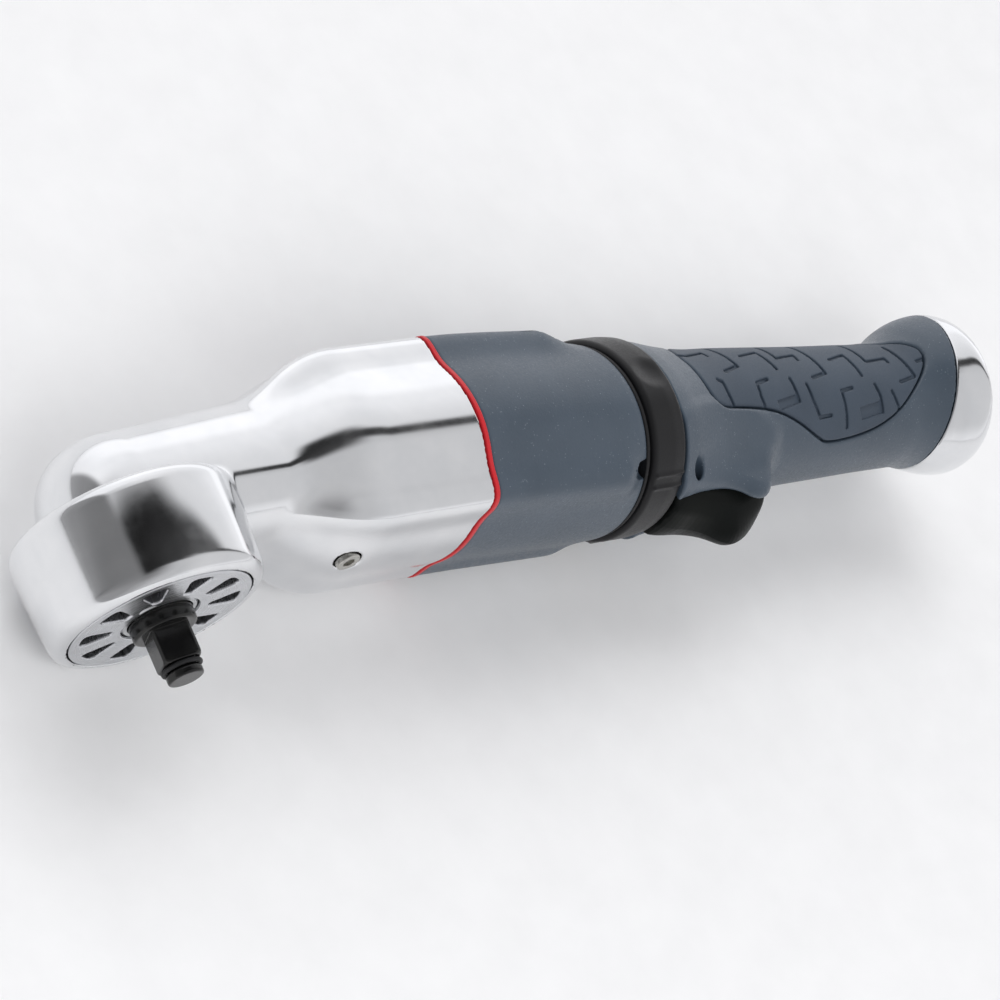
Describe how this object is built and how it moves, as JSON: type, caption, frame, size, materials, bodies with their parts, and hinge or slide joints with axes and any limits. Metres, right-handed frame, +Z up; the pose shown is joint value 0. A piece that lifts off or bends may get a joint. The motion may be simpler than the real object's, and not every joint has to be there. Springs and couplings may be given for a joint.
{
  "type": "right-angle air impact wrench",
  "caption": "Right-angle air impact wrench with a square drive, vented round head, reverse ring, lever trigger, contoured grip and rear air inlet.",
  "frame": {"origin": "bottom centre of the bounding box, with the tool lying on its side", "axes": "+X along the tool from the head to the air inlet, -Y the way the square drive points, +Z up from the surface that the tool lies on"},
  "size_m": [0.325, 0.0728, 0.0558],
  "materials": {
    "polished_aluminium": "polished casting",
    "grey_composite": "fine sparkle texture",
    "grey_overmould": "satin",
    "black_ring": "satin",
    "black_trigger": "semi-gloss",
    "red_gasket": "matte",
    "black_rubber": "matte",
    "oxide_steel": "black oxide",
    "ground_steel": "ground",
    "screw_steel": "zinc",
    "bronze": "sintered",
    "felt": "felt",
    "vane_composite": "fibre laminate"
  },
  "bodies": {
    "housing": {"anvil_bushing": "bronze", "case_gasket": "red_gasket", "case_screw_1": "screw_steel", "case_screw_2": "screw_steel", "case_screw_3": "screw_steel", "case_screw_4": "screw_steel", "end_cap": "polished_aluminium", "exhaust_muffler": "felt", "face_plate": "polished_aluminium", "face_plate_bushing": "bronze", "front_bearing": "ground_steel", "front_end_plate": "oxide_steel", "grip_panel_far": "grey_overmould", "grip_panel_near": "grey_overmould", "hammer_case": "polished_aluminium", "handle": "grey_composite", "housing_seal": "black_rubber", "inlet_bushing": "screw_steel", "inlet_screen": "ground_steel", "lube_plug": "screw_steel", "motor_cylinder": "oxide_steel", "motor_housing": "grey_composite", "plunger_bushing": "bronze", "rear_bearing": "ground_steel", "rear_end_plate": "oxide_steel", "throttle_seat": "bronze", "throttle_spring": "ground_steel", "trigger_pin": "screw_steel", "upper_spindle_bushing": "ground_steel"},
    "drive": {"drive_spindle": "oxide_steel", "bevel_gear": "ground_steel", "socket_retainer": "black_rubber"},
    "anvil": {"anvil_pinion": "ground_steel"},
    "hammer_train": {"hammer_frame": "oxide_steel", "hammer_1": "ground_steel", "hammer_2": "ground_steel", "hammer_pin_1": "oxide_steel", "hammer_pin_2": "oxide_steel", "rotor": "ground_steel", "rotor_vane_1": "vane_composite", "rotor_vane_2": "vane_composite", "rotor_vane_3": "vane_composite", "rotor_vane_4": "vane_composite", "rotor_vane_5": "vane_composite", "rotor_vane_6": "vane_composite"},
    "reverse_control": {"reverse_ring": "black_ring", "reverse_valve": "ground_steel"},
    "trigger": {"trigger": "black_trigger"},
    "plunger": {"throttle_plunger": "ground_steel"},
    "valve": {"throttle_valve": "ground_steel"}
  },
  "joints": [
    {"name": "drive_spin", "type": "hinge", "parent": "housing", "child": "drive", "pos_m": [-0.13455, -0.01097, 0.0279], "axis": [0, 1, 0], "continuous": true},
    {"name": "anvil_spin", "type": "hinge", "parent": "housing", "child": "anvil", "pos_m": [-0.08455, 0.00903, 0.0279], "axis": [1, 0, 0], "continuous": true},
    {"name": "motor_spin", "type": "hinge", "parent": "housing", "child": "hammer_train", "pos_m": [-0.03455, 0.00903, 0.0279], "axis": [1, 0, 0], "continuous": true},
    {"name": "reverse_turn", "type": "hinge", "parent": "housing", "child": "reverse_control", "pos_m": [0.02445, 0.00773, 0.0279], "axis": [1, 0, 0], "range_deg": [-20, 20]},
    {"name": "trigger_pull", "type": "hinge", "parent": "housing", "child": "trigger", "pos_m": [0.03695, -0.01146, 0.0279], "axis": [0, 0, 1], "range_deg": [0, 10], "stiffness_Nm_per_rad": 1, "springref_deg": -5.73},
    {"name": "plunger_slide", "type": "slide", "parent": "housing", "child": "plunger", "axis": [0, 1, 0], "range_m": [0, 0.0036]},
    {"name": "valve_tilt", "type": "hinge", "parent": "housing", "child": "valve", "pos_m": [0.09475, -0.00117, 0.0279], "axis": [0, 0, -1], "range_deg": [0, 5.2], "deforming": ["throttle_spring"]}
  ],
  "couplings": [
    {"joint": "anvil_spin", "follows": "drive_spin", "ratio": 2},
    {"joint": "motor_spin", "follows": "drive_spin", "ratio": 2},
    {"joint": "plunger_slide", "follows": "trigger_pull", "m_per_rad": 0.019},
    {"joint": "valve_tilt", "follows": "trigger_pull", "ratio": 0.48969}
  ]
}
